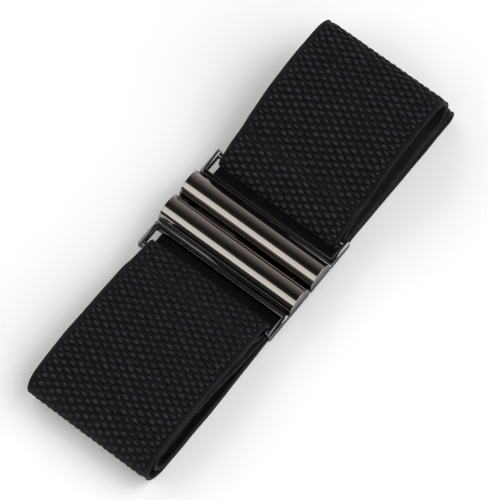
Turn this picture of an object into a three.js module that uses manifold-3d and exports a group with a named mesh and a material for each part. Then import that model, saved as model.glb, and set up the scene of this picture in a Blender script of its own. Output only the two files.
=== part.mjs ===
// Elastic stretch belt, fastened, with its loop laid flat and folded once in half.
// Sizes are millimetres. X runs along the folded belt, Y across the strap, and Z up from
// the surface that it lies on. The loop's leg 1 lies on top and holds the buckle, leg 4 is
// the one on the surface, and legs 2 and 3 lie between them.

import * as THREE from "three";
import { mergeVertices } from "three/addons/utils/BufferGeometryUtils.js";
import Module from "manifold-3d";

const wasm = await Module();
wasm.setup();

// Driving dimensions of the strap
const foldedLength = 202.4;
const foldedHeight = 32.5;
const strapWidth = 61;
const strapThick = 2.1;
const strapPinch = 1; // how much narrower the strap is where it is gathered into the buckle
const edgeRound = 0.5; // the corner taken off the strap's long edges
const layerGap = 0.3; // between two layers that lie on each other
const lowerSlip = 1.3; // how far legs 3 and 4 lie out of line at the bends of -X, towards -Y

// Driving dimensions of the loop's bends, as they lie
const upperBendInset = 5.2; // from the folded end to the bend between legs 1 and 2
const innerBendInset = 5.35; // from the outer bend to the one inside it, legs 2 and 3
const outerBendLean = 20; // degrees, the slope of leg 1 where it enters the outer bend
const innerBendLean = 15; // degrees, the same of leg 2 where it enters the inner bend

// Driving dimensions of the buckle
const barRadius = 6.2;
const barGap = 1; // between the two half-round bars
const halfReach = 26; // from the buckle's middle to the outside of its crossbar
const frameThick = 4;
const railWidth = 1.8;
const crossbarWidth = 2.8;
const crossbarHeight = 2.9;
const lipWidth = 1.9; // the strip of frame between the slot and the groove
const grooveWidth = 1.2;
const grooveDepth = 1;
const slotSideRoom = 1.7; // beside the strap, in the slot
const foldRoom = 1.25; // between the fold round the crossbar and leg 2
const fitGap = 0.35; // between pieces that touch

// Driving dimensions of the hidden hook that holds the halves together
const hookReach = 8.2;
const hookWidth = 50;
const tongueThick = 1.6;
const hookLip = 1.8;
const keeperThick = 1.2;
const lipRoom = 0.3; // from the hook's lip to the underside of the frame

// Each end of leg 1: where its sewn-back tab is stitched and cut, measured from the
// buckle's middle, and how steeply the strap leaves the crossbar
const ends = {
  right: { side: 1, seamAt: 36, tabEnd: 42.5, leaveSlope: 25 },
  left: { side: -1, seamAt: 33, tabEnd: 41.4, leaveSlope: 20 },
};

// Heights of the loose stretches above the pressed stack, as shares of the open height
const loft = {
  legOneRight: 1,
  legTwoRight: 0.233,
  legThreeRight: 0.2,
  legOneLeft: 0.485,
  legTwoLeft: 0.455,
  outerBendTop: 0.36,
  innerBendTop: 0.336,
};

// Leg 1, from the crossbar to its bend: run is the share of that length, and rise the
// share of the climb from the fold's top to the leg's crest
const legOneRows = {
  right: [
    { run: 0.08, rise: 0.2 },
    { run: 0.17, rise: 0.32 },
    { run: 0.28, rise: 0.45 },
    { run: 0.4, rise: 0.635 },
    { run: 0.54, rise: 0.83 },
    { run: 0.7, rise: 0.955 },
    { run: 0.88, rise: 1 },
  ],
  left: [
    { run: 0.075, rise: 0.3 },
    { run: 0.15, rise: 0.47 },
    { run: 0.267, rise: 0.675 },
    { run: 0.482, rise: 0.917 },
    { run: 0.689, rise: 1 },
    { run: 0.866, rise: 0.85 },
  ],
};

// Legs 2 and 3, from the buckle's middle to a bend: rise is the share of the climb from
// the pressed stack to that leg's crest
const legTwoRows = {
  right: [
    { run: 0.32, rise: 0 },
    { run: 0.539, rise: 0.167 },
    { run: 0.734, rise: 0.565 },
    { run: 0.86, rise: 0.87 },
    { run: 1, rise: 1 },
  ],
  left: [
    { run: 0.27, rise: 0 },
    { run: 0.43, rise: 0.13 },
    { run: 0.5, rise: 0.32 },
    { run: 0.575, rise: 0.56 },
    { run: 0.7, rise: 0.78 },
    { run: 0.82, rise: 0.99 },
    { run: 0.9, rise: 0.965 },
  ],
};
const legThreeRows = [
  { run: 0.3, rise: 0 },
  { run: 0.487, rise: 0.112 },
  { run: 0.663, rise: 0.52 },
  { run: 0.777, rise: 0.84 },
  { run: 0.88, rise: 1 },
  { run: 1, rise: 1 },
];

// The tab between the fold and the seam: run and rise from the fold's foot to the stretch
// that is sewn against leg 1
const tabRows = [
  { run: 0.24, rise: 0.05 },
  { run: 0.62, rise: 0.57 },
];

// Sampling of the ribbon
const legStep = 4;
const bendStep = 15; // degrees

// Worked out from the sizes above
const halfThick = strapThick / 2;
const layerPitch = strapThick + layerGap;
const openHeight = foldedHeight - 4 * strapThick - 3 * layerGap;
const pressed = [1, 2, 3, 4].map((leg) => halfThick + (4 - leg) * layerPitch);
const [pressedOne, pressedTwo, pressedThree, floorLeg] = pressed;
const crossbarX = halfReach - crossbarWidth / 2;
const foldRadius = crossbarHeight / 2 + fitGap + halfThick;
const stackTop = pressedTwo + halfThick;
const crossbarZ = stackTop + foldRoom + halfThick + foldRadius;
const frameBottom = crossbarZ + crossbarHeight / 2 - frameThick;
const foldTop = crossbarZ + foldRadius;
const foldFoot = crossbarZ - foldRadius;
const slotLength = strapWidth - strapPinch + 2 * slotSideRoom;
const buckleWidth = slotLength + 2 * railWidth;
const tipX = foldedLength / 2 - halfThick;
const radians = THREE.MathUtils.degToRad;

const crest = {
  legOneRight: pressedOne + loft.legOneRight * openHeight,
  legOneLeft: pressedOne + loft.legOneLeft * openHeight,
  legTwoRight: pressedTwo + loft.legTwoRight * openHeight,
  legTwoLeft: pressedTwo + loft.legTwoLeft * openHeight,
  legThreeRight: pressedThree + loft.legThreeRight * openHeight,
  outerBend: pressedOne + loft.outerBendTop * openHeight,
  innerBend: pressedTwo + loft.innerBendTop * openHeight,
};

// A bend between two legs, as the circle of the strap's middle line. Side is 1 at +X.
function bend(side, tip, low, high) {
  const radius = (high - low) / 2;
  return { side, radius, x: side * (tip - radius), z: low + radius };
}

const bends = {
  upper: bend(1, tipX - upperBendInset, crest.legTwoRight, crest.legOneRight),
  lower: bend(1, tipX, floorLeg, crest.legThreeRight),
  inner: bend(-1, tipX - innerBendInset, pressedThree, crest.innerBend),
  outer: bend(-1, tipX, floorLeg, crest.outerBend),
};

// The point of a circle at an angle from straight up, counted towards its side
function onBend({ side, radius, x, z }, fromTop) {
  const angle = radians(fromTop);
  return { x: x + side * radius * Math.sin(angle), z: z + radius * Math.cos(angle) };
}

function arc(circle, from, to) {
  const steps = Math.max(2, Math.ceil(Math.abs(to - from) / bendStep));
  return Array.from({ length: steps + 1 }, (_, i) =>
    onBend(circle, from + ((to - from) * i) / steps),
  );
}

// A smooth height over X through rows in rising X, which never overshoots them
function smoothHeight(rows, startSlope, endSlope) {
  const rise = (i) => (rows[i + 1].z - rows[i].z) / (rows[i + 1].x - rows[i].x);
  const slopes = rows.map((_, i) => {
    if (i === 0) return startSlope;
    if (i === rows.length - 1) return endSlope;
    const before = rise(i - 1);
    const after = rise(i);
    return before * after <= 0 ? 0 : (2 * before * after) / (before + after);
  });
  return (x) => {
    let i = 0;
    while (i < rows.length - 2 && x > rows[i + 1].x) i += 1;
    const span = rows[i + 1].x - rows[i].x;
    const t = (x - rows[i].x) / span;
    const near = (1 + 2 * t) * (1 - t) ** 2 * rows[i].z + t * (1 - t) ** 2 * span * slopes[i];
    const far = (3 - 2 * t) * t ** 2 * rows[i + 1].z - (1 - t) * t ** 2 * span * slopes[i + 1];
    return near + far;
  };
}

function sampleLeg(height, from, to) {
  const steps = Math.max(1, Math.ceil(Math.abs(to - from) / legStep));
  return Array.from({ length: steps + 1 }, (_, i) => {
    const x = from + ((to - from) * i) / steps;
    return { x, z: height(x) };
  });
}

function placeRows(rows, fromX, toX, low, high) {
  return rows.map(({ run, rise }) => ({
    x: fromX + run * (toX - fromX),
    z: low + rise * (high - low),
  }));
}

// Leg 1 at one end, with the fold round the crossbar and the tab sewn under it, from the
// tab's cut end outwards. X counts outwards from the buckle's middle at both ends.
function sewnEnd(name, bendCircle, crestZ, bendLean) {
  const { side, seamAt, tabEnd, leaveSlope } = ends[name];
  const fold = { side: 1, radius: foldRadius, x: crossbarX, z: crossbarZ };
  const start = onBend(fold, -leaveSlope);
  const meet = onBend({ ...bendCircle, side: 1, x: Math.abs(bendCircle.x) }, bendLean);
  const rows = placeRows(legOneRows[name], crossbarX, Math.abs(bendCircle.x), foldTop, crestZ);
  const between = rows.filter((row) => row.x > start.x && row.x < meet.x - 1);
  const legOne = smoothHeight(
    [start, ...between, meet],
    Math.tan(radians(leaveSlope)),
    -Math.tan(radians(bendLean)),
  );
  const sewn = (x) => legOne(x) - layerPitch;
  const foot = { x: crossbarX, z: foldFoot };
  const seam = { x: seamAt, z: sewn(seamAt) };
  const climb = placeRows(tabRows, foot.x, seam.x, foot.z, seam.z);
  const tab = smoothHeight([foot, ...climb, seam], 0, sewn(seamAt + 1) - seam.z);
  const points = [
    ...sampleLeg(sewn, tabEnd, seamAt),
    ...sampleLeg(tab, seamAt, foot.x).slice(1),
    ...arc(fold, -180, -leaveSlope).slice(1),
    ...sampleLeg(legOne, start.x, meet.x).slice(1),
  ];
  return points.map(({ x, z }) => ({ x: side * x, z, pinch: pinchAt(x, seamAt) }));
}

// How much of the pinch is left at a distance from the buckle's middle
function pinchAt(x, seamAt) {
  return 1 - THREE.MathUtils.smoothstep(x, seamAt, seamAt + strapWidth / 8);
}

// How much of the slip is there on legs 3 and 4, at an X
function slipAt(x) {
  return THREE.MathUtils.smoothstep(-x / tipX, 0, 0.7);
}

// The points of a leg or a bend, with the share of the slip at each
function slipped(points, share) {
  return points.map((point, i) => ({ ...point, slip: share(point, i / (points.length - 1)) }));
}

// The whole ribbon's middle line, from one tab's cut end round the loop to the other's
function strapLine() {
  const right = sewnEnd("right", bends.upper, crest.legOneRight, 0);
  const left = sewnEnd("left", bends.outer, crest.legOneLeft, outerBendLean).reverse();
  const innerStart = onBend(bends.inner, innerBendLean);
  const legTwoLeft = placeRows(legTwoRows.left, 0, bends.inner.x, pressedTwo, crest.legTwoLeft);
  const legTwo = smoothHeight(
    [
      innerStart,
      ...legTwoLeft.reverse(),
      ...placeRows(legTwoRows.right, 0, bends.upper.x, pressedTwo, crest.legTwoRight),
    ],
    Math.tan(radians(innerBendLean)),
    0,
  );
  const legThree = smoothHeight(
    [
      { x: bends.inner.x, z: pressedThree },
      ...placeRows(legThreeRows, 0, bends.lower.x, pressedThree, crest.legThreeRight),
    ],
    0,
    0,
  );
  const onLowerLegs = ({ x }) => slipAt(x);
  const lowerLegs = [
    ...sampleLeg(legThree, bends.inner.x, bends.lower.x),
    ...arc(bends.lower, 0, 180).slice(1),
    ...sampleLeg(() => floorLeg, bends.lower.x, bends.outer.x).slice(1),
  ];
  return [
    ...right,
    ...arc(bends.upper, 0, 180).slice(1),
    ...sampleLeg(legTwo, bends.upper.x, innerStart.x).slice(1),
    ...slipped(arc(bends.inner, innerBendLean, 180), (_, way) => way).slice(1),
    ...slipped(lowerLegs, onLowerLegs).slice(1),
    ...slipped(arc(bends.outer, 180, outerBendLean), (_, way) => 1 - way).slice(1),
    ...left.slice(1),
  ];
}

// Sideways direction at a point of the line, long enough that flat faces stay parallel
function mitre(line, i) {
  const here = line[i];
  const way = (a, b) => new THREE.Vector2(b.x - a.x, b.z - a.z).normalize();
  const before = i > 0 ? way(line[i - 1], here) : way(here, line[i + 1]);
  const after = i < line.length - 1 ? way(here, line[i + 1]) : before;
  const across = before.clone().add(after).normalize();
  const side = new THREE.Vector2(-across.y, across.x);
  return side.divideScalar(across.dot(before));
}

// A ribbon swept along the line, with the corners of its section taken off
function ribbonGeometry(line) {
  const positions = [];
  const index = [];
  line.forEach((point, i) => {
    const side = mitre(line, i);
    const half = (strapWidth - strapPinch * (point.pinch ?? 0)) / 2;
    const middle = -lowerSlip * (point.slip ?? 0);
    const flat = half - edgeRound;
    const thin = halfThick - edgeRound;
    const section = [
      [-flat, -halfThick],
      [flat, -halfThick],
      [half, -thin],
      [half, thin],
      [flat, halfThick],
      [-flat, halfThick],
      [-half, thin],
      [-half, -thin],
    ];
    for (const [across, up] of section) {
      positions.push(point.x + side.x * up, middle + across, point.z + side.y * up);
    }
  });
  const sides = positions.length / 3 / line.length;
  for (let i = 0; i < line.length - 1; i += 1) {
    for (let k = 0; k < sides; k += 1) {
      const a = i * sides + k;
      const b = i * sides + ((k + 1) % sides);
      index.push(a, b, b + sides, a, b + sides, a + sides);
    }
  }
  const last = (line.length - 1) * sides;
  for (let k = 1; k < sides - 1; k += 1) {
    index.push(0, k + 1, k, last, last + k, last + k + 1);
  }
  const geometry = new THREE.BufferGeometry();
  geometry.setAttribute("position", new THREE.Float32BufferAttribute(positions, 3));
  geometry.setIndex(index);
  return geometry;
}

// Solids of the buckle are joined and cut as manifolds
function solid(geometry) {
  const bare = geometry.index ? geometry.clone() : geometry;
  bare.deleteAttribute("normal");
  bare.deleteAttribute("uv");
  const merged = mergeVertices(bare, 1e-4);
  return new wasm.Manifold(
    new wasm.Mesh({
      numProp: 3,
      vertProperties: new Float32Array(merged.attributes.position.array),
      triVerts: new Uint32Array(merged.index.array),
    }),
  );
}

function toGeometry(manifold) {
  const { vertProperties, triVerts } = manifold.getMesh();
  const geometry = new THREE.BufferGeometry();
  geometry.setAttribute("position", new THREE.BufferAttribute(vertProperties, 3));
  geometry.setIndex(new THREE.BufferAttribute(triVerts, 1));
  return geometry;
}

// A box between two corners
function block([x0, y0, z0], [x1, y1, z1]) {
  const geometry = new THREE.BoxGeometry(x1 - x0, y1 - y0, z1 - z0);
  geometry.translate((x0 + x1) / 2, (y0 + y1) / 2, (z0 + z1) / 2);
  return solid(geometry);
}

// A section drawn in X and Z, swept across the whole width of the buckle
function acrossBuckle(shape) {
  const geometry = new THREE.ExtrudeGeometry(shape, {
    depth: buckleWidth,
    bevelEnabled: false,
    curveSegments: 20,
  });
  geometry.rotateX(Math.PI / 2);
  geometry.translate(0, buckleWidth / 2, 0);
  return solid(geometry);
}

// A bar with straight sides and a half-round top
function barSection() {
  const middle = barGap / 2 + barRadius;
  const shape = new THREE.Shape();
  shape.moveTo(middle - barRadius, 0);
  shape.lineTo(middle + barRadius, 0);
  shape.lineTo(middle + barRadius, frameThick);
  shape.absarc(middle, frameThick, barRadius, 0, Math.PI, false);
  shape.closePath();
  return shape;
}

// The crossbar that the strap is folded round, rounded on every side
function crossbarSection() {
  const round = Math.min(crossbarWidth, crossbarHeight) / 2;
  const [left, right] = [halfReach - crossbarWidth + round, halfReach - round];
  const [low, high] = [frameThick - crossbarHeight + round, frameThick - round];
  const shape = new THREE.Shape();
  shape.absarc(left, low, round, Math.PI, 1.5 * Math.PI, false);
  shape.absarc(right, low, round, 1.5 * Math.PI, 2 * Math.PI, false);
  shape.absarc(right, high, round, 0, 0.5 * Math.PI, false);
  shape.absarc(left, high, round, 0.5 * Math.PI, Math.PI, false);
  shape.closePath();
  return shape;
}

// One half of the buckle without its catch: bar, groove, lip, two rails and crossbar. It
// stands on Z 0 and reaches towards +X.
function buckleHalf() {
  const barSide = barGap / 2 + 2 * barRadius;
  const lipStart = barSide + grooveWidth;
  const slotStart = lipStart + lipWidth;
  const edge = buckleWidth / 2;
  const overlap = barRadius / 2; // the frame runs this far into the bar
  const pieces = [
    acrossBuckle(barSection()),
    acrossBuckle(crossbarSection()),
    block([barSide - overlap, -edge, 0], [slotStart, edge, frameThick - grooveDepth]),
    block([lipStart, -edge, 0], [slotStart, edge, frameThick]),
  ];
  for (const side of [-1, 1]) {
    const inner = side * (edge - railWidth);
    const [low, high] = [Math.min(inner, side * edge), Math.max(inner, side * edge)];
    pieces.push(block([lipStart, low, 0], [halfReach, high, frameThick]));
  }
  return wasm.Manifold.union(pieces);
}

const tongueLow = keeperThick + fitGap;
const tongueHigh = tongueLow + tongueThick;

// The half with the keeper: a pocket for the tongue, and a well for the hook's lip
function keeperHalf() {
  const side = hookWidth / 2 + fitGap;
  const reach = hookReach + fitGap;
  const pocket = block([-barGap, -side, keeperThick], [reach, side, tongueHigh + fitGap]);
  const wellStart = hookReach - hookLip - fitGap;
  const well = block([wellStart, -side, -frameThick], [reach, side, tongueHigh]);
  return toGeometry(buckleHalf().subtract(pocket).subtract(well));
}

// The half with the hook, drawn reaching towards +X and turned round when it is placed
function hookHalf() {
  const side = hookWidth / 2;
  const root = barGap / 2 + barRadius / 2;
  const tongue = block([-hookReach, -side, tongueLow], [root, side, tongueHigh]);
  const lip = block([-hookReach, -side, lipRoom], [hookLip - hookReach, side, tongueHigh]);
  return toGeometry(wasm.Manifold.union([buckleHalf(), tongue, lip]));
}

function piece(name, geometry, { color, roughness, metalness }) {
  const material = new THREE.MeshStandardMaterial({ color, roughness, metalness });
  geometry.computeVertexNormals();
  const mesh = new THREE.Mesh(geometry, material);
  mesh.name = name;
  return mesh;
}

const elastic = { color: 0x1e1e21, roughness: 0.95, metalness: 0 };
const gunmetal = { color: 0x4a4b52, roughness: 0.15, metalness: 1 };

const belt = new THREE.Group();
belt.add(piece("strap", ribbonGeometry(strapLine()), elastic));

const buckle = new THREE.Group();
buckle.position.z = frameBottom;
const hookSide = piece("buckle_hook_half", hookHalf(), gunmetal);
hookSide.rotation.z = Math.PI;
buckle.add(piece("buckle_keeper_half", keeperHalf(), gunmetal), hookSide);
belt.add(buckle);

export default belt;
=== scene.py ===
import math
import random
from bisect import bisect_right

import bmesh
import bpy
from mathutils import Matrix, Vector


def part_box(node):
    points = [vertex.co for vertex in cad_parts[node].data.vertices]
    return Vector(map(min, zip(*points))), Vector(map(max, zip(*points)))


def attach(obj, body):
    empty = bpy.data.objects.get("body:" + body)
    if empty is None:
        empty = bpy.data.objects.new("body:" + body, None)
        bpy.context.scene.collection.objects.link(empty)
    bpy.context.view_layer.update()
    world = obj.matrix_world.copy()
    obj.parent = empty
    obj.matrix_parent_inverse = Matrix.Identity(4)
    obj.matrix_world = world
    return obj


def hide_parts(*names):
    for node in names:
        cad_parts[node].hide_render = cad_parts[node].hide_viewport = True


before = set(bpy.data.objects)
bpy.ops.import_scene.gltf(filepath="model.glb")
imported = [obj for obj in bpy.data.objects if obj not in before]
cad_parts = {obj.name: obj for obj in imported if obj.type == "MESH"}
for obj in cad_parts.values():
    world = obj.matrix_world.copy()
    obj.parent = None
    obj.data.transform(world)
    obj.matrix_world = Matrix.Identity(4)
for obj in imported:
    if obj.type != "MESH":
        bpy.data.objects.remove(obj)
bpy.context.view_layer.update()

# An elastic stretch belt, fastened and lying flat with its loop folded once in half.
# X runs along the folded belt, Y across the strap, Z up. Values in the dictionaries are
# millimetres and degrees unless a note says otherwise.
mm = 0.001
scene = bpy.context.scene


# Small helpers

def nodeSize(name):
    low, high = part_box(name)
    return [(high[i] - low[i]) / mm for i in range(3)]


def addObject(name, data):
    obj = bpy.data.objects.new(name, data)
    scene.collection.objects.link(obj)
    return obj


def meshObject(name, points, faces, smooth=True):
    mesh = bpy.data.meshes.new(name)
    mesh.from_pydata([Vector(p) * mm for p in points], [], faces)
    mesh.validate()
    for face in mesh.polygons:
        face.use_smooth = smooth
    return addObject(name, mesh)


def evaluatedMesh(obj):
    evaluated = obj.evaluated_get(bpy.context.evaluated_depsgraph_get())
    return bpy.data.meshes.new_from_object(evaluated)


def joinInto(mesh, sources):
    bm = bmesh.new()
    for source in sources:
        bm.from_mesh(source)
    bm.to_mesh(mesh)
    bm.free()


def turnOutward(mesh, mergeDistance=0.0):
    bm = bmesh.new()
    bm.from_mesh(mesh)
    if mergeDistance:
        bmesh.ops.remove_doubles(bm, verts=bm.verts, dist=mergeDistance)
    bmesh.ops.recalc_face_normals(bm, faces=bm.faces)
    bm.to_mesh(mesh)
    bm.free()


def dressRoot(obj, slot, *replaced):
    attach(obj, "root")
    if replaced:
        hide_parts(*replaced)


# Node helpers, for shading and geometry alike. A value is a number or another node's output.

def feed(tree, value, socket):
    if isinstance(value, bpy.types.NodeSocket):
        tree.links.new(value, socket)
    else:
        socket.default_value = value


def addNode(tree, kind, settings=None, **inputs):
    node = tree.nodes.new(kind)
    for key, value in (settings or {}).items():
        setattr(node, key, value)
    for label, value in inputs.items():
        feed(tree, value, node.inputs[label.replace("_", " ")])
    return node


def calc(tree, operation, a, b=None):
    node = addNode(tree, "ShaderNodeMath", {"operation": operation})
    for index, value in enumerate((a, b)):
        if value is not None:
            feed(tree, value, node.inputs[index])
    return node.outputs[0]


def split(tree, vector):
    return addNode(tree, "ShaderNodeSeparateXYZ", Vector=vector).outputs


def combine(tree, x, y, z):
    return addNode(tree, "ShaderNodeCombineXYZ", X=x, Y=y, Z=z).outputs[0]


def mapRange(tree, value, before, after=(0.0, 1.0)):
    node = addNode(tree, "ShaderNodeMapRange", Value=value)
    for label, ends in (("From", before), ("To", after)):
        feed(tree, ends[0], node.inputs[label + " Min"])
        feed(tree, ends[1], node.inputs[label + " Max"])
    return node.outputs["Result"]


def mixColors(tree, share, low, high, blend="MIX"):
    node = addNode(tree, "ShaderNodeMix", {"data_type": "RGBA", "blend_type": blend})
    for index, value in ((0, share), (6, low), (7, high)):
        feed(tree, value, node.inputs[index])
    return node.outputs[2]


def noise(tree, place, scale, detail):
    return addNode(tree, "ShaderNodeTexNoise", Vector=place, Scale=scale, Detail=detail).outputs["Fac"]


def newMaterial(name, inputs):
    material = bpy.data.materials.new(name)
    material.use_nodes = True
    shader = material.node_tree.nodes["Principled BSDF"]
    for label, value in inputs.items():
        shader.inputs[label].default_value = value
    return material, material.node_tree, shader


def addBump(tree, shader, height, strength, depth):
    bump = addNode(tree, "ShaderNodeBump", Strength=strength, Distance=depth * mm, Height=height)
    tree.links.new(bump.outputs["Normal"], shader.inputs["Normal"])


# Camera, floor and lights

cameraSettings = {
    "azimuth": -51.93,
    "elevation": 67.25,
    "distance": 1.5,  # metres
    "pixelsPerMm": 2.503,  # at the distance of the target
    "framePixels": 500,  # the longer side of the picture
    "target": (0.0, 0.0, 13.5),
    "shiftPixels": (-0.64, 7.46),  # the target's place, right and up of the picture's middle
    "sensor": 36.0,
    "clipEnd": 20.0,  # metres
}


def makeCamera():
    s = cameraSettings
    azimuth, elevation = math.radians(s["azimuth"]), math.radians(s["elevation"])
    back = Vector((math.sin(azimuth) * math.cos(elevation),
                   -math.cos(azimuth) * math.cos(elevation),
                   math.sin(elevation)))
    right = Vector((math.cos(azimuth), math.sin(azimuth), 0.0))
    up = back.cross(right)
    data = bpy.data.cameras.new("camera")
    span = s["framePixels"] / s["pixelsPerMm"] * mm
    data.sensor_width = s["sensor"]
    data.lens = data.sensor_width * s["distance"] / span
    data.clip_end = s["clipEnd"]
    obj = addObject("camera", data)
    offset = (right * s["shiftPixels"][0] + up * s["shiftPixels"][1]) / s["pixelsPerMm"] * mm
    obj.location = Vector(s["target"]) * mm - offset + back * s["distance"]
    obj.rotation_euler = (math.pi / 2 - elevation, 0.0, azimuth)
    scene.camera = obj


floorSettings = {"size": 6000.0, "color": (0.94, 0.945, 0.955, 1.0), "roughness": 0.6}

# Places and sizes in metres, strength as the radiance that a reflection shows
daylight = (0.95, 0.975, 1.0)
lightSettings = {
    "key": {"at": (1.0, -0.65, 1.5), "size": (1.5, 1.1), "radiance": 2.5, "color": daylight},
    "frontFill": {"at": (0.1, -1.4, 1.4), "size": (3.0, 1.9), "radiance": 1.75, "color": daylight},
    "backFill": {"at": (0.3, 1.5, 1.4), "size": (2.8, 1.6), "radiance": 1.0, "color": daylight},
    "leftWindow": {"at": (-0.757, 0.31, 0.744), "size": (0.78, 1.1), "radiance": 1.28,
                   "color": (1.0, 0.97, 0.89)},
}
lightTarget = (0.0, 0.0, 0.015)
# The room glows at the horizon and is dark overhead
roomSettings = {"color": (1.0, 0.86, 0.82, 1.0), "horizon": 0.7, "fall": 0.95}
# A dark card beside the belt, which the camera does not see
flagSettings = {"at": (-0.95, 0.2, 0.2), "size": (0.40, 2.2), "color": (0.02, 0.019, 0.02, 1.0)}


def aimAt(obj, target):
    way = (Vector(target) - obj.location).normalized()
    across = Vector((0.0, 1.0, 0.0))
    side = across.cross(-way).normalized()  # the light's own X, in the plane of the bars' bend
    turned = Matrix((side, (-way).cross(side), -way)).transposed()
    obj.rotation_euler = turned.to_euler()


def makeLights():
    for name, s in lightSettings.items():
        data = bpy.data.lights.new(name, "AREA")
        data.shape = "RECTANGLE"
        data.size, data.size_y = s["size"]
        data.energy = s["radiance"] * math.pi * s["size"][0] * s["size"][1]
        data.color = s["color"]
        obj = addObject(name, data)
        obj.location = s["at"]
        aimAt(obj, lightTarget)
    world = bpy.data.worlds.new("room")
    world.use_nodes = True
    tree = world.node_tree
    background = tree.nodes["Background"]
    background.inputs["Color"].default_value = roomSettings["color"]
    way = addNode(tree, "ShaderNodeTexCoord").outputs["Generated"]
    below = calc(tree, "SUBTRACT", 1.0, calc(tree, "MAXIMUM", split(tree, way)["Z"], 0.0))
    faded = calc(tree, "POWER", below, roomSettings["fall"])
    glow = calc(tree, "MULTIPLY", faded, roomSettings["horizon"])
    feed(tree, glow, background.inputs["Strength"])
    scene.world = world


def makeFloor():
    s = floorSettings
    half = s["size"] / 2
    floor = meshObject("floor", [(-half, -half, 0), (half, -half, 0), (half, half, 0), (-half, half, 0)],
                       [(0, 1, 2, 3)])
    paper = newMaterial("floorPaper", {"Base Color": s["color"], "Roughness": s["roughness"]})[0]
    floor.data.materials.append(paper)
    s = flagSettings
    x, y, z = (v / mm for v in s["at"])
    tall, wide = (v / mm / 2 for v in s["size"])
    flag = meshObject("darkFlag", [(x, y - wide, z - tall), (x, y + wide, z - tall),
                                   (x, y + wide, z + tall), (x, y - wide, z + tall)], [(0, 1, 2, 3)])
    flag.data.materials.append(newMaterial("flagCloth", {"Base Color": s["color"]})[0])
    flag.visible_camera = False


scene.view_settings.view_transform = "Standard"
makeCamera()
makeFloor()
makeLights()
print("camera, floor and lights are in place")


# Shader node groups that several materials share

def newGroup(name, inputs, outputs):
    tree = bpy.data.node_groups.new(name, "ShaderNodeTree")
    for label, kind, value in inputs:
        socket = tree.interface.new_socket(label, in_out="INPUT", socket_type=kind)
        if value is not None:
            socket.default_value = value
    for label, kind in outputs:
        tree.interface.new_socket(label, in_out="OUTPUT", socket_type=kind)
    return tree, tree.nodes.new("NodeGroupInput"), tree.nodes.new("NodeGroupOutput")


# Noise scales are per metre
yarnRelief = {
    "weave": 0.5, "fuzzScale": 2600.0, "fuzzDetail": 3.0,
    "broadScale": 260.0, "broadDetail": 2.0, "broadFrom": (0.3, 0.7), "broadTo": (0.62, 1.38),
}
handlingMarks = {
    "smearScale": 70.0, "smearDetail": 5.0, "smearFrom": (0.35, 0.75),
    "hairStretch": (4000.0, 60.0, 4000.0), "hairDetail": 2.0,
}


def makeYarnGroup():
    # Fine yarns along and across the strap, read from coordinates in metres
    s = yarnRelief
    tree, start, end = newGroup(
        "yarnRelief",
        [("Vector", "NodeSocketVector", None), ("Along Pitch", "NodeSocketFloat", 0.0006),
         ("Across Pitch", "NodeSocketFloat", 0.0005), ("Fuzz", "NodeSocketFloat", 0.4)],
        [("Height", "NodeSocketFloat"), ("Shade", "NodeSocketFloat")])
    given = start.outputs
    place = split(tree, given["Vector"])
    waves = []
    for axis, pitch in ((0, "Along Pitch"), (1, "Across Pitch")):
        turns = calc(tree, "DIVIDE", place[axis], given[pitch])
        waves.append(calc(tree, "SINE", calc(tree, "MULTIPLY", turns, 2 * math.pi)))
    weave = calc(tree, "MULTIPLY", calc(tree, "MULTIPLY", waves[0], waves[1]), s["weave"])
    fine = noise(tree, given["Vector"], s["fuzzScale"], s["fuzzDetail"])
    fuzz = calc(tree, "MULTIPLY", fine, given["Fuzz"])
    feed(tree, calc(tree, "ADD", weave, fuzz), end.inputs["Height"])
    broad = noise(tree, given["Vector"], s["broadScale"], s["broadDetail"])
    feed(tree, mapRange(tree, broad, s["broadFrom"], s["broadTo"]), end.inputs["Shade"])
    return tree


def makeHandlingGroup():
    # Faint smears and hairline scratches of a handled, polished surface
    s = handlingMarks
    tree, start, end = newGroup(
        "handlingMarks",
        [("Vector", "NodeSocketVector", None), ("Low Roughness", "NodeSocketFloat", 0.05),
         ("High Roughness", "NodeSocketFloat", 0.16)],
        [("Roughness", "NodeSocketFloat"), ("Height", "NodeSocketFloat")])
    given = start.outputs
    smear = noise(tree, given["Vector"], s["smearScale"], s["smearDetail"])
    rough = mapRange(tree, smear, s["smearFrom"], (given["Low Roughness"], given["High Roughness"]))
    feed(tree, rough, end.inputs["Roughness"])
    stretched = addNode(tree, "ShaderNodeMapping", Vector=given["Vector"], Scale=s["hairStretch"])
    feed(tree, noise(tree, stretched.outputs["Vector"], 1.0, s["hairDetail"]), end.inputs["Height"])
    return tree


yarnGroup = makeYarnGroup()
handlingGroup = makeHandlingGroup()


def placeGroup(tree, group, values, place):
    node = addNode(tree, "ShaderNodeGroup", {"node_tree": group})
    for label, value in {**values, "Vector": place}.items():
        feed(tree, value, node.inputs[label])
    return node.outputs


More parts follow.
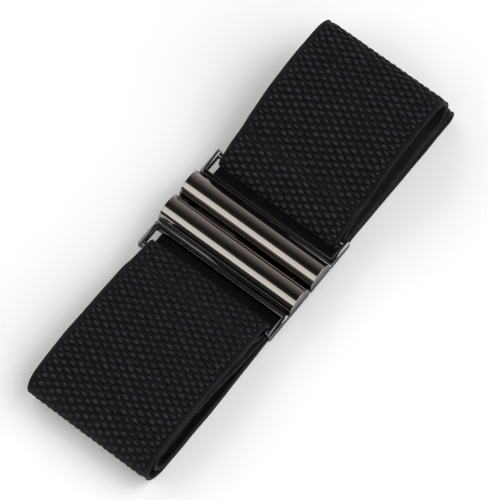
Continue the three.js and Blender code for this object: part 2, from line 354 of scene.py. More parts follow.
def makeElastic(name, s):
    material, tree, shader = newMaterial(name, {
        "Roughness": s["roughness"], "Sheen Weight": s["sheen"], "Sheen Roughness": s["sheenRoughness"],
        "Specular IOR Level": s["specular"]})
    if s["fromUv"]:
        place = addNode(tree, "ShaderNodeUVMap", {"uv_map": "strapUv"}).outputs["UV"]
    else:
        place = addNode(tree, "ShaderNodeTexCoord").outputs["Object"]
    yarn = placeGroup(tree, yarnGroup, s["yarn"], place)
    color = s["color"]
    if s["paintedLightFrom"]:
        # Painted light from the attribute: painted shade where it is low, as on the ground between the
        # pebbles and on a pebble's lower sides, and the lit colour, on a pebble a painted highlight, where
        # it is high
        depth = addNode(tree, "ShaderNodeAttribute", {"attribute_name": s["paintedLightFrom"]}).outputs["Fac"]
        color = mixColors(tree, mapRange(tree, depth, s["paintedLightRange"]), s["paintedShadeColor"], color)
    feed(tree, mixColors(tree, 1.0, color, yarn["Shade"], "MULTIPLY"), shader.inputs["Base Color"])
    addBump(tree, shader, yarn["Height"], s["bump"], s["bumpDepth"])
    return material


# The webbing's colour, with painted shade on the ground of the weave between the pebbles
elasticFinish = {
    "color": (0.0064, 0.0062, 0.0088, 1.0), "paintedShadeColor": (0.0034, 0.0031, 0.0052, 1.0),
    "paintedLightFrom": "weavePaintedLight", "paintedLightRange": (0.5, 1.3), "fromUv": True,
    "roughness": 0.62, "sheen": 0.015, "sheenRoughness": 0.5, "specular": 0.12,
    "bump": 0.6, "bumpDepth": 0.08,
    "yarn": {"Along Pitch": 0.00085, "Across Pitch": 0.0006, "Fuzz": 0.5},  # pitches in metres
}
# Its colour is a painted highlight on each pebble's crest, and its dark colour is painted shade on the
# pebble's lower sides
pebbleFinish = {
    **elasticFinish, "fromUv": False, "paintedLightFrom": "pebblePaintedLight", "roughness": 0.6, "specular": 0.10,
    "color": (0.0300, 0.0290, 0.0362, 1.0), "paintedShadeColor": (0.0026, 0.0023, 0.0042, 1.0),
    "yarn": {"Along Pitch": 0.0005, "Across Pitch": 0.0009, "Fuzz": 0.9},
}
threadFinish = {
    **elasticFinish, "fromUv": False, "paintedLightFrom": None, "roughness": 0.45,
    "color": (0.0120, 0.0118, 0.0150, 1.0),
    "yarn": {"Along Pitch": 0.0003, "Across Pitch": 0.0004, "Fuzz": 0.6},
}
gunmetalFinish = {
    "color": (0.36, 0.343, 0.33, 1.0), "edgeTint": (0.45, 0.45, 0.45, 1.0),
    # Below the bars' base the plating is painted darker, in colour and reflection tint: painted shade on
    # the frames, grooves and crossbar
    "paintedShadePlating": (0.18, 0.174, 0.177, 1.0), "paintedShadeTint": (0.3, 0.3, 0.3, 1.0),
    "paintedShadeTop": 13.9, "paintedShadeFade": 0.3,  # the painted shade ends at this height
    "scratchBump": 0.02, "scratchDepth": 0.01,
    "marks": {"Low Roughness": 0.05, "High Roughness": 0.12},
}


def makeGunmetal():
    s = gunmetalFinish
    material, tree, shader = newMaterial("gunmetalPlating", {"Metallic": 1.0})
    place = addNode(tree, "ShaderNodeTexCoord").outputs["Object"]
    # Painted shade: the frames, grooves and crossbar below the bars' base get a darker colour and
    # reflection tint than the polished bars
    raised = mapRange(tree, split(tree, place)["Z"],
                      ((s["paintedShadeTop"] - s["paintedShadeFade"]) * mm, s["paintedShadeTop"] * mm))
    for deep, proud, target in (("paintedShadePlating", "color", "Base Color"),
                                ("paintedShadeTint", "edgeTint", "Specular Tint")):
        feed(tree, mixColors(tree, raised, s[deep], s[proud]), shader.inputs[target])
    marks = placeGroup(tree, handlingGroup, s["marks"], place)
    feed(tree, marks["Roughness"], shader.inputs["Roughness"])
    addBump(tree, shader, marks["Height"], s["scratchBump"], s["scratchDepth"])
    return material


elastic = makeElastic("elasticWebbing", elasticFinish)
pebbled = makeElastic("pebbledYarn", pebbleFinish)
thread = makeElastic("seamThread", threadFinish)
gunmetal = makeGunmetal()
print("materials are made")


# The strap: its middle line follows the same rule as the solid that it replaces

strapLow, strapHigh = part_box("strap")
halfLow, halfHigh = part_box("buckle_keeper_half")
strapSize = nodeSize("strap")

strap = {
    "foldedLength": strapSize[0],
    "foldedHeight": strapSize[2],
    "width": 2 * strapHigh[1] / mm,
    "thick": 2.1,
    "pinch": 1.0,  # how much narrower the strap is between its seams and the buckle
    "pinchReach": 0.125,  # how soon it is wide again past a seam, in strap widths
    "lowerSlip": strapSize[1] - 2 * strapHigh[1] / mm,  # of legs 3 and 4 at the bends of -X
    "slipReach": 0.7,  # the share of the way to the tip over which they slip
    "layerGap": 0.3,
    "upperBendInset": 5.2,
    "innerBendInset": 5.35,
    "outerBendLean": 20.0,
    "innerBendLean": 15.0,
    "legStep": 1.6,
    "bendStep": 6.0,
    "selvedge": 1.4,  # the smooth bead along each edge
    "edgePaintedLight": 1.4,  # the edges' and the inner face's mark for the lit colour; the ground has 0 and gets painted shade
    "faceDrop": 0.72,  # how far the ground of the weave lies below the pebbles' tops
    "columns": 14,  # faces across the ground of the weave
    "waver": 0.10,  # how far the edges wander
    "waverSpacing": 9.0,
    "seed": 7,
}
# Its top lies level with the frames' top
crossbar = {"width": 2.8, "height": 2.9, "top": 4.0, "fitGap": 0.35, "reach": halfHigh[0] / mm}
sewnEnds = {
    "right": {"side": 1, "seamAt": 36.0, "tabEnd": 42.5, "leaveSlope": 25.0},
    "left": {"side": -1, "seamAt": 33.0, "tabEnd": 41.4, "leaveSlope": 20.0},
}
loft = {
    "legOneRight": 1.0, "legTwoRight": 0.233, "legThreeRight": 0.2, "legOneLeft": 0.485,
    "legTwoLeft": 0.455, "outerBendTop": 0.36, "innerBendTop": 0.336,
}
# Rows of (share of the run, share of the rise)
legOneRows = {
    "right": [(0.08, 0.2), (0.17, 0.32), (0.28, 0.45), (0.4, 0.635), (0.54, 0.83), (0.7, 0.955),
              (0.88, 1)],
    "left": [(0.075, 0.3), (0.15, 0.47), (0.267, 0.675), (0.482, 0.917), (0.689, 1), (0.866, 0.85)],
}
legTwoRows = {
    "right": [(0.32, 0), (0.539, 0.167), (0.734, 0.565), (0.86, 0.87), (1, 1)],
    "left": [(0.27, 0), (0.43, 0.13), (0.5, 0.32), (0.575, 0.56), (0.7, 0.78), (0.82, 0.99),
             (0.9, 0.965)],
}
legThreeRows = [(0.3, 0), (0.487, 0.112), (0.663, 0.52), (0.777, 0.84), (0.88, 1), (1, 1)]
tabRows = [(0.24, 0.05), (0.62, 0.57)]
# The rounded edge from the outer face to the inner, as (in from the edge, up from the middle)
edgeRows = [(1.1, 0.55), (0.75, 0.75), (0.35, 0.63), (0.08, 0.3), (0.0, -0.05), (0.1, -0.45),
            (0.4, -0.95), (0.9, -1.02)]

halfThick = strap["thick"] / 2
layerPitch = strap["thick"] + strap["layerGap"]
openHeight = strap["foldedHeight"] - 4 * strap["thick"] - 3 * strap["layerGap"]
pressedOne, pressedTwo, pressedThree, floorLeg = (
    halfThick + (4 - leg) * layerPitch for leg in (1, 2, 3, 4))
crossbarX = crossbar["reach"] - crossbar["width"] / 2
frameTop = halfLow[2] / mm + crossbar["top"]
crossbarZ = frameTop - crossbar["height"] / 2
foldRadius = crossbar["height"] / 2 + crossbar["fitGap"] + halfThick
tipX = strap["foldedLength"] / 2 - halfThick
crest = {
    name: pressed + loft[name] * openHeight
    for name, pressed in (
        ("legOneRight", pressedOne), ("legOneLeft", pressedOne), ("legTwoRight", pressedTwo),
        ("legTwoLeft", pressedTwo), ("legThreeRight", pressedThree), ("outerBendTop", pressedOne),
        ("innerBendTop", pressedTwo))
}


def bend(side, tip, low, high):
    radius = (high - low) / 2
    return {"side": side, "radius": radius, "x": side * (tip - radius), "z": low + radius}


bends = {
    "upper": bend(1, tipX - strap["upperBendInset"], crest["legTwoRight"], crest["legOneRight"]),
    "lower": bend(1, tipX, floorLeg, crest["legThreeRight"]),
    "inner": bend(-1, tipX - strap["innerBendInset"], pressedThree, crest["innerBendTop"]),
    "outer": bend(-1, tipX, floorLeg, crest["outerBendTop"]),
}


def onBend(circle, fromTop):
    angle = math.radians(fromTop)
    return (circle["x"] + circle["side"] * circle["radius"] * math.sin(angle),
            circle["z"] + circle["radius"] * math.cos(angle))


def arcPoints(circle, start, stop):
    steps = max(2, math.ceil(abs(stop - start) / strap["bendStep"]))
    return [onBend(circle, start + (stop - start) * i / steps) for i in range(steps + 1)]


def smoothHeight(rows, startSlope, endSlope):
    # A height over X through rows in rising X, which never overshoots them
    def secant(i):
        return (rows[i + 1][1] - rows[i][1]) / (rows[i + 1][0] - rows[i][0])

    slopes = [startSlope]
    for i in range(1, len(rows) - 1):
        before, after = secant(i - 1), secant(i)
        slopes.append(0.0 if before * after <= 0 else 2 * before * after / (before + after))
    slopes.append(endSlope)
    starts = [row[0] for row in rows]

    def height(x):
        i = min(max(bisect_right(starts, x) - 1, 0), len(rows) - 2)
        span = rows[i + 1][0] - rows[i][0]
        t = (x - rows[i][0]) / span
        near = (1 + 2 * t) * (1 - t) ** 2 * rows[i][1] + t * (1 - t) ** 2 * span * slopes[i]
        far = (3 - 2 * t) * t ** 2 * rows[i + 1][1] - (1 - t) * t ** 2 * span * slopes[i + 1]
        return near + far

    return height


def sampleLeg(height, start, stop):
    steps = max(1, math.ceil(abs(stop - start) / strap["legStep"]))
    return [(x, height(x)) for x in (start + (stop - start) * i / steps for i in range(steps + 1))]


def placeRows(rows, startX, stopX, low, high):
    return [(startX + run * (stopX - startX), low + rise * (high - low)) for run, rise in rows]


def smoothStep(t):
    t = min(max(t, 0.0), 1.0)
    return t * t * (3 - 2 * t)


def pinchAt(x, seamAt):
    return 1 - smoothStep((x - seamAt) / (strap["width"] * strap["pinchReach"]))


def sewnEnd(name, circle, crestZ, lean):
    # Leg 1 at one end, from its tab's cut end, round the crossbar and out to the bend
    end = sewnEnds[name]
    fold = {"side": 1, "radius": foldRadius, "x": crossbarX, "z": crossbarZ}
    start = onBend(fold, -end["leaveSlope"])
    meet = onBend({**circle, "side": 1, "x": abs(circle["x"])}, lean)
    rows = placeRows(legOneRows[name], crossbarX, abs(circle["x"]), crossbarZ + foldRadius, crestZ)
    kept = [row for row in rows if start[0] < row[0] < meet[0] - 1]
    legOne = smoothHeight([start, *kept, meet], math.tan(math.radians(end["leaveSlope"])),
                          -math.tan(math.radians(lean)))

    def sewn(x):
        return legOne(x) - layerPitch

    foot = (crossbarX, crossbarZ - foldRadius)
    seam = (end["seamAt"], sewn(end["seamAt"]))
    climb = placeRows(tabRows, foot[0], seam[0], foot[1], seam[1])
    tab = smoothHeight([foot, *climb, seam], 0.0, sewn(seam[0] + 1) - seam[1])
    points = (sampleLeg(sewn, end["tabEnd"], seam[0]) + sampleLeg(tab, seam[0], foot[0])[1:]
              + arcPoints(fold, -180, -end["leaveSlope"])[1:] + sampleLeg(legOne, start[0], meet[0])[1:])
    return [(end["side"] * x, z, pinchAt(x, end["seamAt"]), 0.0) for x, z in points]


def slipped(points, share):
    return [(x, z, 0.0, share(x, i / (len(points) - 1))) for i, (x, z) in enumerate(points)]


def strapLine():
    # The middle line of the whole ribbon, from one tab's cut end round to the other's
    right = sewnEnd("right", bends["upper"], crest["legOneRight"], 0.0)
    left = sewnEnd("left", bends["outer"], crest["legOneLeft"], strap["outerBendLean"])[::-1]
    inner, upper, lower, outer = (bends[k] for k in ("inner", "upper", "lower", "outer"))
    innerStart = onBend(inner, strap["innerBendLean"])
    legTwo = smoothHeight(
        [innerStart, *placeRows(legTwoRows["left"], 0, inner["x"], pressedTwo, crest["legTwoLeft"])[::-1],
         *placeRows(legTwoRows["right"], 0, upper["x"], pressedTwo, crest["legTwoRight"])],
        math.tan(math.radians(strap["innerBendLean"])), 0.0)
    legThree = smoothHeight(
        [(inner["x"], pressedThree),
         *placeRows(legThreeRows, 0, lower["x"], pressedThree, crest["legThreeRight"])], 0.0, 0.0)
    lowerLegs = (sampleLeg(legThree, inner["x"], lower["x"]) + arcPoints(lower, 0, 180)[1:]
                 + sampleLeg(lambda x: floorLeg, lower["x"], outer["x"])[1:])
    legTwoPart = arcPoints(upper, 0, 180)[1:] + sampleLeg(legTwo, upper["x"], innerStart[0])[1:]
    return (right + slipped(legTwoPart, lambda x, way: 0.0)
            + slipped(arcPoints(inner, strap["innerBendLean"], 180), lambda x, way: way)[1:]
            + slipped(lowerLegs, lambda x, way: smoothStep(-x / tipX / strap["slipReach"]))[1:]
            + slipped(arcPoints(outer, 180, strap["outerBendLean"]), lambda x, way: 1 - way)[1:]
            + left[1:])


def withSides(line):
    # Adds to each point its sideways direction and its distance along the line
    stations = []
    travelled = 0.0
    for i, (x, z, pinch, slip) in enumerate(line):
        here = Vector((x, z))
        before = (here - Vector(line[i - 1][:2])).normalized() if i else None
        after = (Vector(line[i + 1][:2]) - here).normalized() if i + 1 < len(line) else before
        before = before or after
        across = (before + after).normalized()
        side = Vector((-across.y, across.x)) / across.dot(before)
        if i:
            travelled += (here - Vector(line[i - 1][:2])).length
        stations.append({"x": x, "y": -strap["lowerSlip"] * slip, "z": z, "pinch": pinch,
                         "side": side, "at": travelled})
    return stations


def wanderingEdge(seed, length, spacing, reach):
    # A smooth random offset along the strap
    dice = random.Random(seed)
    knots = [dice.uniform(-reach, reach) for _ in range(int(length / spacing) + 3)]

    def offset(at):
        i, t = divmod(at / spacing, 1.0)
        t = smoothStep(t)
        return knots[int(i)] * (1 - t) + knots[int(i) + 1] * t

    return offset


def strapSection(half):
    # (across, up) round one half of the section, from the middle of the outer face outwards,
    # and back to the middle of the inner face. Up is towards the outer face.
    s = strap
    ground = halfThick - s["faceDrop"]
    flat = half - s["selvedge"]
    count = s["columns"] // 2
    face = [(flat * i / count, ground) for i in range(count + 1)]
    edge = [(half - inset, up) for inset, up in edgeRows]
    back = [(flat * i / count, edgeRows[-1][1]) for i in range(count, -1, -1)]
    return face + edge + back


def makeStrap(stations):
    points, coordinates = [], []
    leftEdge, rightEdge = (
        wanderingEdge(seed, stations[-1]["at"], strap["waverSpacing"], strap["waver"])
        for seed in (strap["seed"], strap["seed"] + 1))
    for station in stations:
        half = (strap["width"] - strap["pinch"] * station["pinch"]) / 2 - strap["waver"]
        upper = strapSection(half + leftEdge(station["at"]))
        lower = strapSection(half + rightEdge(station["at"]))
        ring = upper + [(-across, up) for across, up in lower[-2:0:-1]]
        for across, up in ring:
            points.append((station["x"] + station["side"].x * up, station["y"] + across,
                           station["z"] + station["side"].y * up))
            coordinates.append((station["at"] * mm, across * mm))
    sides = len(ring)
    faces = []
    for i in range(len(stations) - 1):
        for k in range(sides):
            a, b = i * sides + k, i * sides + (k + 1) % sides
            faces.append((a, b, b + sides, a + sides))
    last = (len(stations) - 1) * sides
    faces.append(tuple(range(sides - 1, -1, -1)))
    faces.append(tuple(range(last, last + sides)))
    obj = meshObject("strap_webbing", points, faces)
    # The ground between the pebbles gets painted shade, and the edges and the inner face do not
    groundCount = strap["columns"] // 2 + 1
    ground = {*range(groundCount), *range(sides - groundCount + 1, sides)}
    rise = obj.data.attributes.new("weavePaintedLight", "FLOAT", "POINT")
    for i in range(len(points)):
        rise.data[i].value = 0.0 if i % sides in ground else strap["edgePaintedLight"]
    layer = obj.data.uv_layers.new(name="strapUv")
    for loop in obj.data.loops:
        layer.data[loop.index].uv = coordinates[loop.vertex_index]
    turnOutward(obj.data)
    obj.data.materials.append(elastic)
    return obj


stations = withSides(strapLine())
webbing = makeStrap(stations)


# Geometry Nodes: a tree gets named inputs, and its result becomes a plain mesh

def newTree(name, inputs):
    tree = bpy.data.node_groups.new(name, "GeometryNodeTree")
    tree.interface.new_socket("Geometry", in_out="INPUT", socket_type="NodeSocketGeometry")
    tree.interface.new_socket("Geometry", in_out="OUTPUT", socket_type="NodeSocketGeometry")
    for label, kind in inputs:
        tree.interface.new_socket(label, in_out="INPUT", socket_type=kind)
    return tree, tree.nodes.new("NodeGroupInput"), tree.nodes.new("NodeGroupOutput")


def above(tree, value, limit):
    node = addNode(tree, "FunctionNodeCompare", {"data_type": "FLOAT", "operation": "GREATER_THAN"})
    feed(tree, value, node.inputs[0])
    feed(tree, limit, node.inputs[1])
    return node.outputs[0]


def between(tree, low, high, seed):
    node = addNode(tree, "FunctionNodeRandomValue", {"data_type": "FLOAT"}, Seed=seed)
    feed(tree, low, node.inputs[2])
    feed(tree, high, node.inputs[3])
    return node.outputs[1]


def keepValue(tree, geometry, name, kind, value):
    return addNode(tree, "GeometryNodeStoreNamedAttribute", {"data_type": kind, "domain": "POINT"},
                   Geometry=geometry, Name=name, Value=value).outputs["Geometry"]


def keptValue(tree, name, kind):
    return addNode(tree, "GeometryNodeInputNamedAttribute", {"data_type": kind}, Name=name).outputs[0]


def positionParts(tree):
    return split(tree, addNode(tree, "GeometryNodeInputPosition").outputs[0])


def finishTree(tree, instances, material, end):
    real = addNode(tree, "GeometryNodeRealizeInstances", Geometry=instances)
    smooth = addNode(tree, "GeometryNodeSetShadeSmooth")
    feed(tree, real.outputs["Geometry"], smooth.inputs[0])
    done = addNode(tree, "GeometryNodeSetMaterial", Geometry=smooth.outputs[0], Material=material)
    feed(tree, done.outputs["Geometry"], end.inputs["Geometry"])
    return tree


def runNodes(obj, tree, values, material):
    modifier = obj.modifiers.new("nodes", "NODES")
    modifier.node_group = tree
    sockets = {item.name: item.identifier for item in tree.interface.items_tree if item.in_out == "INPUT"}
    for label, value in {**values, "Material": material}.items():
        modifier[sockets[label]] = value
    name, mesh = obj.name, evaluatedMesh(obj)
    bpy.data.objects.remove(obj)
    return addObject(name, mesh)


def polyCurve(name, points):
    curve = bpy.data.curves.new(name, "CURVE")
    curve.dimensions = "3D"
    spline = curve.splines.new("POLY")
    spline.points.add(len(points) - 1)
    for target, point in zip(spline.points, points):
        target.co = (*(Vector(point) * mm), 1.0)
    return addObject(name, curve)


# The pebbles of the weave: rows across the strap, every other row shifted by half a pitch

pebbles = {
    "rowPitch": 1.70,
    "acrossPitch": 5.68,
    "long": 3.55,  # across the strap
    "wide": 2.6,
    "high": 0.86,
    "columns": 11,
    "lastColumn": 27.2,  # an outer pebble moves in to here and is shorter
    "lastShare": 0.72,
    "spill": 0.6,  # in pitches, how far past the last column a pebble may be moved in from
    "heightPower": 0.7,  # a shorter pebble is lower by this power of its share
    "sizeSpread": 0.13,
    "turn": 1.0,
    "turnSpread": 10.0,
    "seamDip": 0.42,  # how deep a seam draws them in
    "seamReach": 1.5,
    "segments": 6,
    "rings": 4,
    "stray": 0.3,  # how far a pebble may sit from its place across the strap
    "lean": 0.9,  # how far the painted highlight on a pebble's crest lies towards the strap's far end
    "seed": 11,
}


def makePebbleTree():
    tree, start, end = newTree("pebbledWeave", [
        ("Row Pitch", "NodeSocketFloat"), ("Across Pitch", "NodeSocketFloat"), ("Columns", "NodeSocketInt"),
        ("Last Column", "NodeSocketFloat"), ("Last Share", "NodeSocketFloat"), ("Spill", "NodeSocketFloat"),
        ("Pebble Size", "NodeSocketVector"), ("Height Power", "NodeSocketFloat"),
        ("Size Spread", "NodeSocketFloat"), ("Turn", "NodeSocketFloat"), ("Turn Spread", "NodeSocketFloat"),
        ("Stray", "NodeSocketFloat"), ("Lean", "NodeSocketFloat"), ("Segments", "NodeSocketInt"),
        ("Rings", "NodeSocketInt"), ("Seed", "NodeSocketInt"), ("Material", "NodeSocketMaterial")])
    given = start.outputs
    rows = addNode(tree, "GeometryNodeCurveToPoints", {"mode": "LENGTH"},
                   Curve=given["Geometry"], Length=given["Row Pitch"]).outputs
    # Each row's own axes: along the strap, across it, and out of its face
    axes = addNode(tree, "FunctionNodeAxesToRotation", {"primary_axis": "X", "secondary_axis": "Y"})
    feed(tree, rows["Tangent"], axes.inputs[0])
    feed(tree, (0.0, 1.0, 0.0), axes.inputs[1])
    kept = keepValue(tree, rows["Points"], "rowTurn", "QUATERNION", axes.outputs[0])
    odd = calc(tree, "MODULO", addNode(tree, "GeometryNodeInputIndex").outputs[0], 2.0)
    halfPitch = calc(tree, "MULTIPLY", given["Across Pitch"], 0.5)
    moved = addNode(tree, "GeometryNodeSetPosition", Geometry=kept,
                    Offset=combine(tree, 0.0, calc(tree, "MULTIPLY", odd, halfPitch), 0.0))
    # One row of places, from edge to edge
    spanHalf = calc(tree, "MULTIPLY", calc(tree, "SUBTRACT", given["Columns"], 1.0), halfPitch)
    places = addNode(tree, "GeometryNodeMeshLine", {"mode": "OFFSET", "count_mode": "TOTAL"},
                     Count=given["Columns"], Offset=combine(tree, 0.0, given["Across Pitch"], 0.0),
                     Start_Location=combine(tree, 0.0, calc(tree, "MULTIPLY", spanHalf, -1.0), 0.0))
    laid = addNode(tree, "GeometryNodeInstanceOnPoints",
                   Points=moved.outputs["Geometry"], Instance=places.outputs["Mesh"])
    spots = addNode(tree, "GeometryNodeRealizeInstances", Geometry=laid.outputs["Instances"])
    # Places beyond the edge go, and those on it move in and hold a shorter pebble
    across = positionParts(tree)
    distance = calc(tree, "ABSOLUTE", across["Y"])
    limit = calc(tree, "ADD", given["Last Column"],
                 calc(tree, "MULTIPLY", given["Across Pitch"], given["Spill"]))
    fewer = addNode(tree, "GeometryNodeDeleteGeometry", {"domain": "POINT"},
                    Geometry=spots.outputs["Geometry"], Selection=above(tree, distance, limit))
    lost = calc(tree, "MULTIPLY", above(tree, distance, given["Last Column"]),
                calc(tree, "SUBTRACT", 1.0, given["Last Share"]))
    marked = keepValue(tree, fewer.outputs["Geometry"], "pebbleShare", "FLOAT",
                       calc(tree, "SUBTRACT", 1.0, lost))
    inside = calc(tree, "MULTIPLY", calc(tree, "SIGN", across["Y"]),
                  calc(tree, "MINIMUM", distance, given["Last Column"]))
    strayed = between(tree, calc(tree, "MULTIPLY", given["Stray"], -1.0), given["Stray"],
                      calc(tree, "ADD", given["Seed"], 2.0))
    drawnIn = addNode(tree, "GeometryNodeSetPosition", Geometry=marked,
                      Position=combine(tree, across["X"], inside, across["Z"]),
                      Offset=combine(tree, 0.0, strayed, 0.0))
    # The pebble itself: its poles lie at its two ends, and the painted highlight on its crest leans along
    # the strap, with painted shade on its lower sides
    ball = addNode(tree, "GeometryNodeMeshUVSphere", Radius=1.0, Segments=given["Segments"],
                   Rings=given["Rings"])
    lying = addNode(tree, "GeometryNodeTransform", Geometry=ball.outputs["Mesh"],
                    Rotation=(math.pi / 2, 0.0, 0.0))
    spot = positionParts(tree)
    # The share of painted highlight: high at the top and towards +X, with painted shade lower down
    rise = calc(tree, "ADD", spot["Z"], calc(tree, "MULTIPLY", spot["X"], given["Lean"]))
    ballWithPaintedLight = keepValue(tree, lying.outputs[0], "pebblePaintedLight", "FLOAT", rise)
    # Each one is turned and sized a little at random
    angle = between(tree, calc(tree, "SUBTRACT", given["Turn"], given["Turn Spread"]),
                    calc(tree, "ADD", given["Turn"], given["Turn Spread"]), given["Seed"])
    spin = addNode(tree, "FunctionNodeEulerToRotation")
    feed(tree, combine(tree, 0.0, 0.0, angle), spin.inputs[0])
    turned = addNode(tree, "FunctionNodeRotateRotation", {"rotation_space": "LOCAL"})
    feed(tree, keptValue(tree, "rowTurn", "QUATERNION"), turned.inputs[0])
    feed(tree, spin.outputs[0], turned.inputs[1])
    scale = between(tree, calc(tree, "SUBTRACT", 1.0, given["Size Spread"]),
                    calc(tree, "ADD", 1.0, given["Size Spread"]), calc(tree, "ADD", given["Seed"], 1.0))
    size = split(tree, given["Pebble Size"])
    share = keptValue(tree, "pebbleShare", "FLOAT")
    long = calc(tree, "MULTIPLY", calc(tree, "MULTIPLY", size["Y"], share), scale)
    high = calc(tree, "MULTIPLY", size["Z"], calc(tree, "POWER", share, given["Height Power"]))
    sown = addNode(tree, "GeometryNodeInstanceOnPoints", Points=drawnIn.outputs["Geometry"], Instance=ballWithPaintedLight,
                   Rotation=turned.outputs[0],
                   Scale=combine(tree, calc(tree, "MULTIPLY", size["X"], scale), long, high))
    return finishTree(tree, sown.outputs["Instances"], given["Material"], end)


def seamDistance(station):
    # Along the strap from the nearer seam, or endless on the legs that have none
    if station["z"] < crossbarZ:
        return math.inf
    return abs(abs(station["x"]) - sewnEnds["right" if station["x"] > 0 else "left"]["seamAt"])


def makePebbles():
    s = pebbles
    points = []
    for a in stations:
        lift = halfThick - s["high"] - s["seamDip"] * math.exp(-(seamDistance(a) / s["seamReach"]) ** 2)
        points.append((a["x"] + a["side"].x * lift, a["y"], a["z"] + a["side"].y * lift))
    return runNodes(polyCurve("strap_pebbles", points), makePebbleTree(), {
        "Row Pitch": s["rowPitch"] * mm, "Across Pitch": s["acrossPitch"] * mm, "Columns": s["columns"],
        "Last Column": s["lastColumn"] * mm, "Last Share": s["lastShare"], "Spill": s["spill"],
        "Pebble Size": (s["wide"] / 2 * mm, s["long"] / 2 * mm, s["high"] * mm),
        "Height Power": s["heightPower"], "Size Spread": s["sizeSpread"], "Turn": math.radians(s["turn"]),
        "Turn Spread": math.radians(s["turnSpread"]), "Stray": s["stray"] * mm, "Lean": s["lean"],
        "Segments": s["segments"], "Rings": s["rings"], "Seed": s["seed"]}, pebbled)


weave = makePebbles()
print("the weave has", len(weave.data.polygons), "faces")


# The two seams: rows of stitches across leg 1 that hold the tabs under it

stitches = {"pitch": 3.1, "long": 2.5, "thick": 0.5, "margin": 1.6, "sink": 0.42, "rows": (0.0, 1.9),
            "segments": 8, "rings": 5, "searchReach": 2.0}


def makeStitchTree():
    tree, start, end = newTree("stitchRow", [
        ("Pitch", "NodeSocketFloat"), ("Stitch Size", "NodeSocketVector"), ("Segments", "NodeSocketInt"),
        ("Rings", "NodeSocketInt"), ("Material", "NodeSocketMaterial")])
    given = start.outputs
    places = addNode(tree, "GeometryNodeCurveToPoints", {"mode": "LENGTH"},
                     Curve=given["Geometry"], Length=given["Pitch"])
    ball = addNode(tree, "GeometryNodeMeshUVSphere", Radius=0.5, Segments=given["Segments"],
                   Rings=given["Rings"])
    laid = addNode(tree, "GeometryNodeInstanceOnPoints", Points=places.outputs["Points"],
                   Instance=ball.outputs["Mesh"], Scale=given["Stitch Size"])
    return finishTree(tree, laid.outputs["Instances"], given["Material"], end)


def topAt(x):
    # The height of the middle line of leg 1 over an X
    near = [a for a in stations if a["z"] > crossbarZ and abs(a["x"] - x) < stitches["searchReach"]]
    return max(near, key=lambda a: a["z"] - abs(a["x"] - x))["z"]


def makeStitches():
    s = stitches
    tree = makeStitchTree()
    parts = []
    half = strap["width"] / 2 - strap["selvedge"] - s["margin"]
    for name, end in sewnEnds.items():
        for row in s["rows"]:
            x = end["side"] * (end["seamAt"] + row)
            z = topAt(x) + halfThick - s["sink"]
            parts.append(runNodes(polyCurve("stitches_" + name, [(x, -half, z), (x, half, z)]), tree, {
                "Pitch": s["pitch"] * mm, "Stitch Size": (s["thick"] * mm, s["long"] * mm, s["thick"] * mm),
                "Segments": s["segments"], "Rings": s["rings"]}, thread))
    mesh = parts[0].data
    joinInto(mesh, [part.data for part in parts])
    for part in parts:
        bpy.data.objects.remove(part)
    return addObject("seam_stitches", mesh)


seams = makeStitches()
print("the seams are sewn")


# The buckle: each half is a half-round bar and a flat frame beside it, joined by the floor
# of a groove. Drawn reaching towards +X from Z 0, and turned round for the hook's half.

buckle = {
    "barRadius": 6.2, "barGap": 1.0, "frameThick": crossbar["top"], "railWidth": 1.8, "lipWidth": 1.9,
    "grooveWidth": 1.2, "grooveDepth": 1.0,
    "tongueReach": 8.2, "tongueWidth": 50.0, "tongueThick": 1.6, "tongueLow": 1.55,
    "floorInBar": 2.0,  # how far the groove's floor reaches into the bar
    "joinReach": 0.5,  # how far the floor and the crossbar reach into the frame
    "joinSink": 0.06,  # how far the joined parts' hidden faces lie inside their neighbours
    "edgeRound": 0.16, "edgeSteps": 3, "arcSteps": 44, "cornerStep": 15, "sharpAngle": 50,
    "endStop": 1.15,  # in edge rounds, and keeps the end's roundness out of the bar's long faces
    "mergeDistance": 0.0005,
}


def boxShell(low, high):
    corners = [(x, y, z) for z in (low[2], high[2]) for y in (low[1], high[1]) for x in (low[0], high[0])]
    faces = [(0, 2, 3, 1), (4, 5, 7, 6), (0, 1, 5, 4), (2, 6, 7, 3), (0, 4, 6, 2), (1, 3, 7, 5)]
    return corners, faces


def barShell(edge):
    # Rings of the section, drawn in a little at both ends so that the end's edge is round
    s = buckle
    middle = s["barGap"] / 2 + s["barRadius"]
    rings = []
    turns = [math.pi / 2 * i / s["edgeSteps"] for i in range(s["edgeSteps"] + 1)]
    corner = s["edgeRound"]
    stops = [(-edge + corner * (1 - math.sin(a)), corner * (1 - math.cos(a))) for a in reversed(turns)]
    stops.append((-edge + corner * s["endStop"], 0.0))
    stops += [(-y, inset) for y, inset in reversed(stops)]
    stops.sort()
    for y, inset in stops:
        radius = s["barRadius"] - inset
        arc = [(middle + radius * math.cos(a), s["frameThick"] + radius * math.sin(a))
               for a in (math.pi * i / s["arcSteps"] for i in range(s["arcSteps"] + 1))]
        section = arc + [(middle - radius, inset), (middle + radius, inset)]
        rings.append([(x, y, z) for x, z in section])
    count = len(rings[0])
    points = [point for ring in rings for point in ring]
    faces = []
    for base in range(0, len(points) - count, count):
        for k in range(count):
            after = (k + 1) % count
            faces.append((base + k, base + after, base + count + after, base + count + k))
    faces += [tuple(range(count)), tuple(range(len(points) - 1, len(points) - count - 1, -1))]
    return points, faces


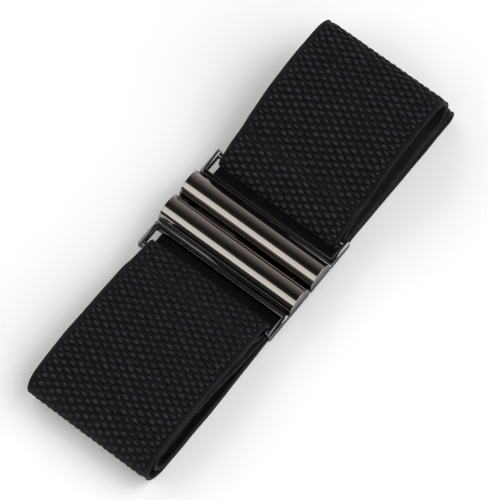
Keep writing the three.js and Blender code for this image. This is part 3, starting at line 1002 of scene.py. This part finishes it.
def frameShell(edge, lipStart, slotStart, reach, thick):
    # The lip and the two rails in one, as a U that is open where the crossbar is
    inner = edge - buckle["railWidth"]
    xs = [lipStart, slotStart, reach]
    ys = [-edge, -inner, inner, edge]
    cells = {(0, 0), (0, 1), (0, 2), (1, 0), (1, 2)}
    points = [(x, y, z) for z in (0.0, thick) for x in xs for y in ys]
    layer = len(xs) * len(ys)

    def at(i, j):
        return i * len(ys) + j

    faces = []
    for i, j in sorted(cells):
        low = [at(i, j), at(i, j + 1), at(i + 1, j + 1), at(i + 1, j)]
        faces += [tuple(low), tuple(k + layer for k in reversed(low))]
        for step, a, b in (((-1, 0), 0, 1), ((0, 1), 1, 2), ((1, 0), 2, 3), ((0, -1), 3, 0)):
            if (i + step[0], j + step[1]) not in cells:
                faces.append((low[a], low[a] + layer, low[b] + layer, low[b]))
    used = sorted({k for face in faces for k in face})
    place = {k: n for n, k in enumerate(used)}
    return [points[k] for k in used], [tuple(place[k] for k in face) for face in faces]


def crossbarShell(inner):
    # A rod that is rounded all the way round
    corner = min(crossbar["width"], crossbar["height"]) / 2
    right, top = crossbar["reach"] - corner, crossbar["top"] - corner
    left = crossbar["reach"] - crossbar["width"] + corner
    low = crossbar["top"] - crossbar["height"] + corner
    section = []
    for x, z, start in ((right, top, 0), (left, top, 90), (left, low, 180), (right, low, 270)):
        for turn in range(start, start + 90 + 1, buckle["cornerStep"]):
            angle = math.radians(turn)
            section.append((x + corner * math.cos(angle), z + corner * math.sin(angle)))
    points = [(x, y, z) for y in (-inner, inner) for x, z in section]
    count = len(section)
    faces = [(k, (k + 1) % count, (k + 1) % count + count, k + count) for k in range(count)]
    faces += [tuple(range(count - 1, -1, -1)), tuple(range(count, 2 * count))]
    return points, faces


def shellObject(name, shells, turned, smooth):
    # Several closed shells as one object at the buckle's height. Turned, it reaches towards -X.
    points, faces = [], []
    for shellPoints, shellFaces in shells:
        base = len(points)
        points += shellPoints
        faces += [tuple(base + k for k in face) for face in shellFaces]
    sign = -1 if turned else 1
    placed = [(sign * x, sign * y, z + halfLow[2] / mm) for x, y, z in points]
    obj = meshObject(name, placed, faces, smooth)
    turnOutward(obj.data, buckle["mergeDistance"] * mm)
    return obj


def makeBuckleHalf(name, turned, catch):
    s = buckle
    edge = (halfHigh[1] - halfLow[1]) / mm / 2
    barSide = s["barGap"] / 2 + 2 * s["barRadius"]
    lipStart = barSide + s["grooveWidth"]
    slotStart = lipStart + s["lipWidth"]
    sink, join = s["joinSink"], s["joinReach"]
    flat = shellObject(name, [
        frameShell(edge, lipStart, slotStart, crossbar["reach"], s["frameThick"]),
        boxShell((barSide - s["floorInBar"], -edge + sink, sink),
                 (lipStart + join, edge - sink, s["frameThick"] - s["grooveDepth"])),
        *(boxShell(*corners) for corners in catch)], turned, smooth=False)
    rounded = flat.modifiers.new("rounded", "BEVEL")
    rounded.width = s["edgeRound"] * mm
    rounded.segments = s["edgeSteps"]
    rounded.limit_method = "ANGLE"
    rounded.harden_normals = True
    mesh = evaluatedMesh(flat)
    flat.modifiers.clear()
    flat.data = mesh
    curved = shellObject(name + "_round", [barShell(edge), crossbarShell(edge - s["railWidth"] + join)],
                         turned, smooth=True)
    for obj in (flat, curved):
        obj.data.set_sharp_from_angle(angle=math.radians(s["sharpAngle"]))
    joinInto(flat.data, [flat.data, curved.data])
    bpy.data.objects.remove(curved)
    for face in flat.data.polygons:
        face.use_smooth = True
    flat.data.set_sharp_from_angle(angle=math.radians(s["sharpAngle"]))
    flat.data.materials.clear()
    flat.data.materials.append(gunmetal)
    return flat


tongue = ((-buckle["tongueReach"], -buckle["tongueWidth"] / 2, buckle["tongueLow"]),
          (buckle["barGap"] / 2 + buckle["barRadius"] / 2, buckle["tongueWidth"] / 2,
           buckle["tongueLow"] + buckle["tongueThick"]))
keeperHalf = makeBuckleHalf("polished_keeper_half", False, [])
hookHalf = makeBuckleHalf("polished_hook_half", True, [tongue])
print("the buckle is polished")


# Handing over to the frame

dressRoot(webbing, "elastic_webbing", "strap")
dressRoot(weave, "elastic_webbing")
dressRoot(seams, "elastic_webbing")
dressRoot(keeperHalf, "gunmetal", "buckle_keeper_half")
dressRoot(hookHalf, "gunmetal", "buckle_hook_half")
